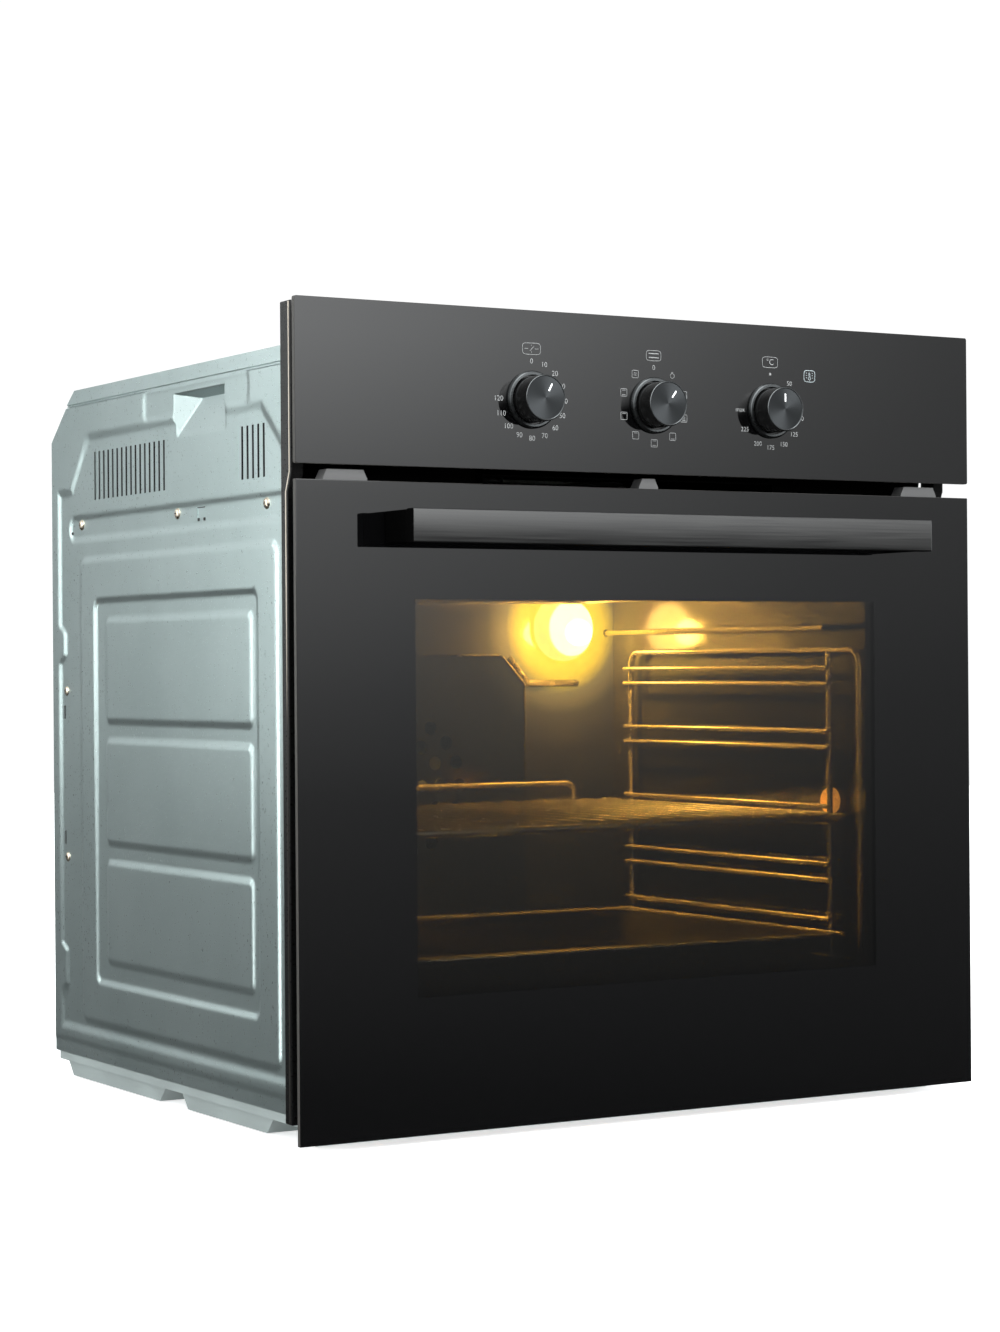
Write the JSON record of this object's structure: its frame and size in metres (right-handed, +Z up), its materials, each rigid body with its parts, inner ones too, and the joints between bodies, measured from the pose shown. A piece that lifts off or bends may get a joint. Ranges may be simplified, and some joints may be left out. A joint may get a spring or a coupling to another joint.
{
  "type": "built-in oven",
  "caption": "Built-in electric wall oven with a black glass front, dial knobs, drop-down windowed door, bar handle, lit cavity, wire shelf, tray and galvanised casing.",
  "frame": {"origin": "centre of the bounding box on the plane the base runners stand on", "axes": "+X to the right seen from the front, the door faces -Y, +Z up"},
  "size_m": [0.595, 0.534, 0.595],
  "materials": {
    "galvanised": "cool grey-green galvanised sheet",
    "enamel": "black vitreous enamel",
    "wool": "mineral wool",
    "gasket": "matt black silicone",
    "wire": "bright plated wire",
    "heater": "oxidised steel tube",
    "motor_steel": "dark zinc-plated steel",
    "lamp": "clear heat-proof glass",
    "black_glass": "glossy black printed glass, clear at the window",
    "inner_glass": "clear tempered glass",
    "switch_plastic": "heat-proof moulding",
    "knob": "satin black with a spun face",
    "dark_brushed": "dark brushed anodised",
    "black_trim": "satin black",
    "hinge_steel": "bright zinc-plated steel"
  },
  "bodies": {
    "chassis": {"base_tray": "galvanised", "side_panel_left": "galvanised", "side_panel_right": "galvanised", "top_cover": "galvanised", "rear_panel": "galvanised", "blower_housing": "galvanised", "control_bracket": "galvanised", "front_frame": "enamel", "cavity_liner": "enamel", "fan_cover": "enamel", "insulation_blanket": "wool", "door_gasket": "gasket", "rack_left": "wire", "rack_right": "wire", "grill_element": "heater", "bottom_element": "heater", "ring_element": "heater", "thermostat_probe": "heater", "fan_motor": "motor_steel", "blower_motor": "motor_steel", "lamp_holder": "motor_steel", "lamp_bulb": "lamp", "lamp_glass": "lamp", "control_fascia": "black_glass", "timer_body": "switch_plastic", "selector_body": "switch_plastic", "thermostat_body": "switch_plastic", "terminal_block": "switch_plastic", "timer_bezel": "dark_brushed", "selector_bezel": "dark_brushed", "thermostat_bezel": "dark_brushed", "side_trim_left": "black_trim", "side_trim_right": "black_trim", "hinge_arm_left": "hinge_steel", "hinge_arm_right": "hinge_steel"},
    "door": {"door_outer_glass": "black_glass", "door_inner_glass": "inner_glass", "door_top_trim": "black_trim", "door_side_rail_left": "motor_steel", "door_side_rail_right": "motor_steel", "handle_bar": "dark_brushed", "handle_mount_left": "black_trim", "handle_mount_right": "black_trim", "hinge_pin_left": "hinge_steel", "hinge_pin_right": "hinge_steel"},
    "timer_dial": {"timer_knob": "knob", "timer_shaft": "galvanised"},
    "selector_dial": {"selector_knob": "knob", "selector_shaft": "galvanised"},
    "thermostat_dial": {"thermostat_knob": "knob", "thermostat_shaft": "galvanised"},
    "shelf": {"wire_shelf": "wire"},
    "tray": {"baking_tray": "enamel"},
    "cavity_fan": {"convection_fan": "galvanised"},
    "cooling_rotor": {"blower_rotor": "motor_steel"},
    "rod_left": {"hinge_rod_left": "hinge_steel", "hinge_spring_left": "hinge_steel"},
    "rod_right": {"hinge_rod_right": "hinge_steel", "hinge_spring_right": "hinge_steel"}
  },
  "joints": [
    {"name": "door_hinge", "type": "hinge", "parent": "chassis", "child": "door", "pos_m": [0, -0.21, 0.025], "axis": [1, 0, 0], "range_deg": [0, 90], "stiffness_Nm_per_rad": 8, "springref_deg": -5.73},
    {"name": "timer_turn", "type": "hinge", "parent": "chassis", "child": "timer_dial", "pos_m": [-0.106, -0.225, 0.53], "axis": [0, 1, 0], "range_deg": [-28, 242]},
    {"name": "selector_turn", "type": "hinge", "parent": "chassis", "child": "selector_dial", "pos_m": [0, -0.225, 0.53], "axis": [0, 1, 0], "continuous": true},
    {"name": "thermostat_turn", "type": "hinge", "parent": "chassis", "child": "thermostat_dial", "pos_m": [0.106, -0.225, 0.53], "axis": [0, 1, 0], "range_deg": [0, 270]},
    {"name": "shelf_slide", "type": "slide", "parent": "chassis", "child": "shelf", "axis": [0, -1, 0], "range_m": [0, 0.024]},
    {"name": "tray_slide", "type": "slide", "parent": "chassis", "child": "tray", "axis": [0, -1, 0], "range_m": [0, 0.024]},
    {"name": "cavity_fan_spin", "type": "hinge", "parent": "chassis", "child": "cavity_fan", "pos_m": [0, 0.2025, 0.235], "axis": [0, 1, 0], "continuous": true},
    {"name": "cooling_rotor_spin", "type": "hinge", "parent": "chassis", "child": "cooling_rotor", "pos_m": [0, 0.025, 0.5], "axis": [1, 0, 0], "continuous": true},
    {"name": "rod_slide_left", "type": "slide", "parent": "door", "child": "rod_left", "axis": [0, 0, -1], "range_m": [0, 0.009], "deforming": ["hinge_spring_left"]},
    {"name": "rod_slide_right", "type": "slide", "parent": "door", "child": "rod_right", "axis": [0, 0, -1], "range_m": [0, 0.009], "deforming": ["hinge_spring_right"]}
  ],
  "couplings": [
    {"joint": "rod_slide_left", "follows": "door_hinge", "m_per_rad": 0.0057},
    {"joint": "rod_slide_right", "follows": "door_hinge", "m_per_rad": 0.0057}
  ]
}
